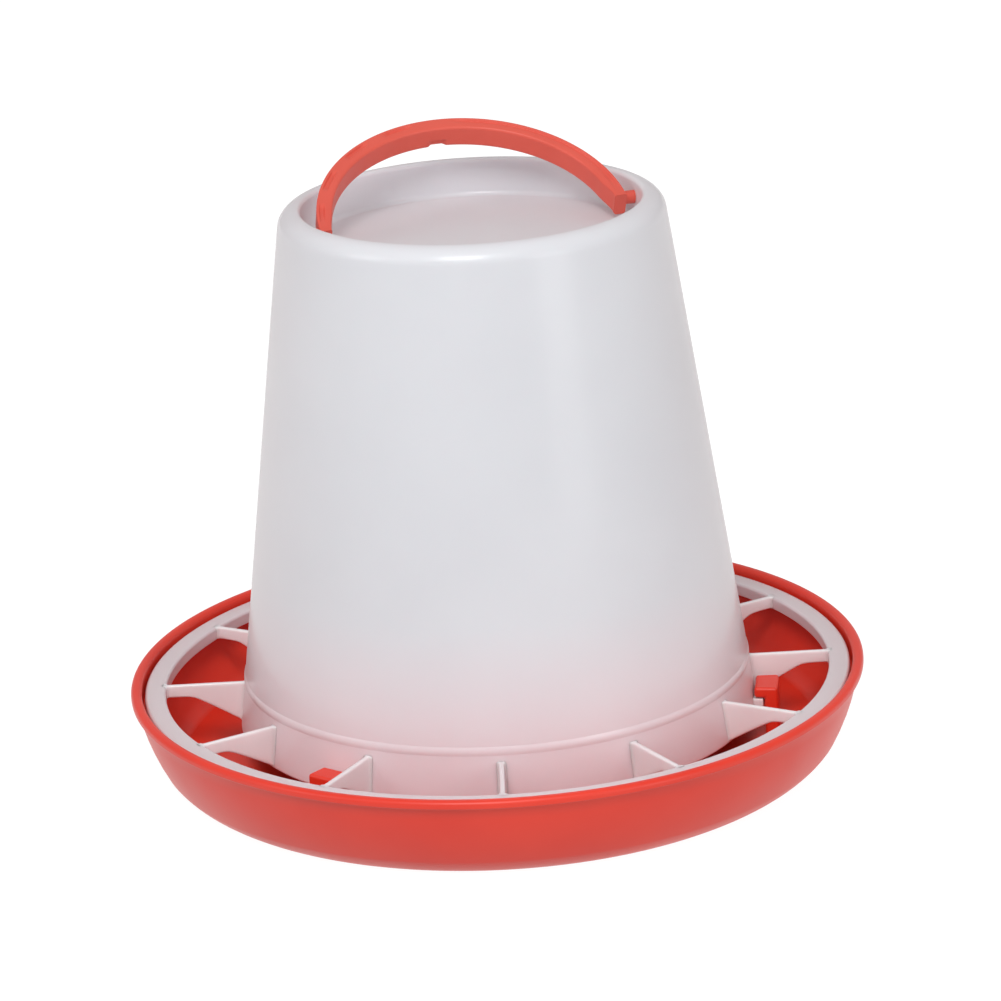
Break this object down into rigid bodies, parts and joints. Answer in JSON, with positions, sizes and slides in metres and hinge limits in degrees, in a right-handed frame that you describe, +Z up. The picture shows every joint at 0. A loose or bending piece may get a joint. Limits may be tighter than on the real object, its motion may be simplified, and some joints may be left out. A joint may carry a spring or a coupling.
{
  "type": "poultry feeder",
  "caption": "Gravity poultry feeder: translucent tapered hopper with a spoked anti-waste grille, twist-locked into a red feeding tray, with a folding red carrying bail.",
  "frame": {"origin": "centre of the tray's underside", "axes": "+Z up along the axis of the hopper, -Y towards the front, +X to the right seen from the front"},
  "size_m": [0.219, 0.219, 0.1845],
  "materials": {
    "tray_red": "glossy injection-moulded polyethylene",
    "hopper_natural": "milky translucent polyethylene, smooth",
    "handle_red": "satin red polyethylene"
  },
  "bodies": {
    "tray": {"tray_floor": "tray_red", "tray_side": "tray_red", "tray_rim": "tray_red", "spreader_cone": "tray_red", "bayonet_hook_1": "tray_red", "bayonet_hook_2": "tray_red", "bayonet_hook_3": "tray_red"},
    "hopper": {"hopper_barrel": "hopper_natural", "hopper_shoulder": "hopper_natural", "recess_wall": "hopper_natural", "recess_floor": "hopper_natural", "guard_ring": "hopper_natural", "guard_web_01": "hopper_natural", "guard_web_02": "hopper_natural", "guard_web_03": "hopper_natural", "guard_web_04": "hopper_natural", "guard_web_05": "hopper_natural", "guard_web_06": "hopper_natural", "guard_web_07": "hopper_natural", "guard_web_08": "hopper_natural", "guard_web_09": "hopper_natural", "guard_web_10": "hopper_natural", "guard_web_11": "hopper_natural", "guard_web_12": "hopper_natural", "lock_tab_1": "hopper_natural", "lock_tab_2": "hopper_natural", "lock_tab_3": "hopper_natural"},
    "handle": {"bail_handle": "handle_red"}
  },
  "joints": [
    {"name": "hopper_twist", "type": "hinge", "parent": "tray", "child": "hopper", "pos_m": [0, 0, 0], "axis": [0, 0, 1], "range_deg": [0, 15]},
    {"name": "handle_swing", "type": "hinge", "parent": "hopper", "child": "handle", "pos_m": [0, 0, 0.1638], "axis": [0.9659, 0.2588, 0], "range_deg": [-27.5, 157.5]}
  ]
}
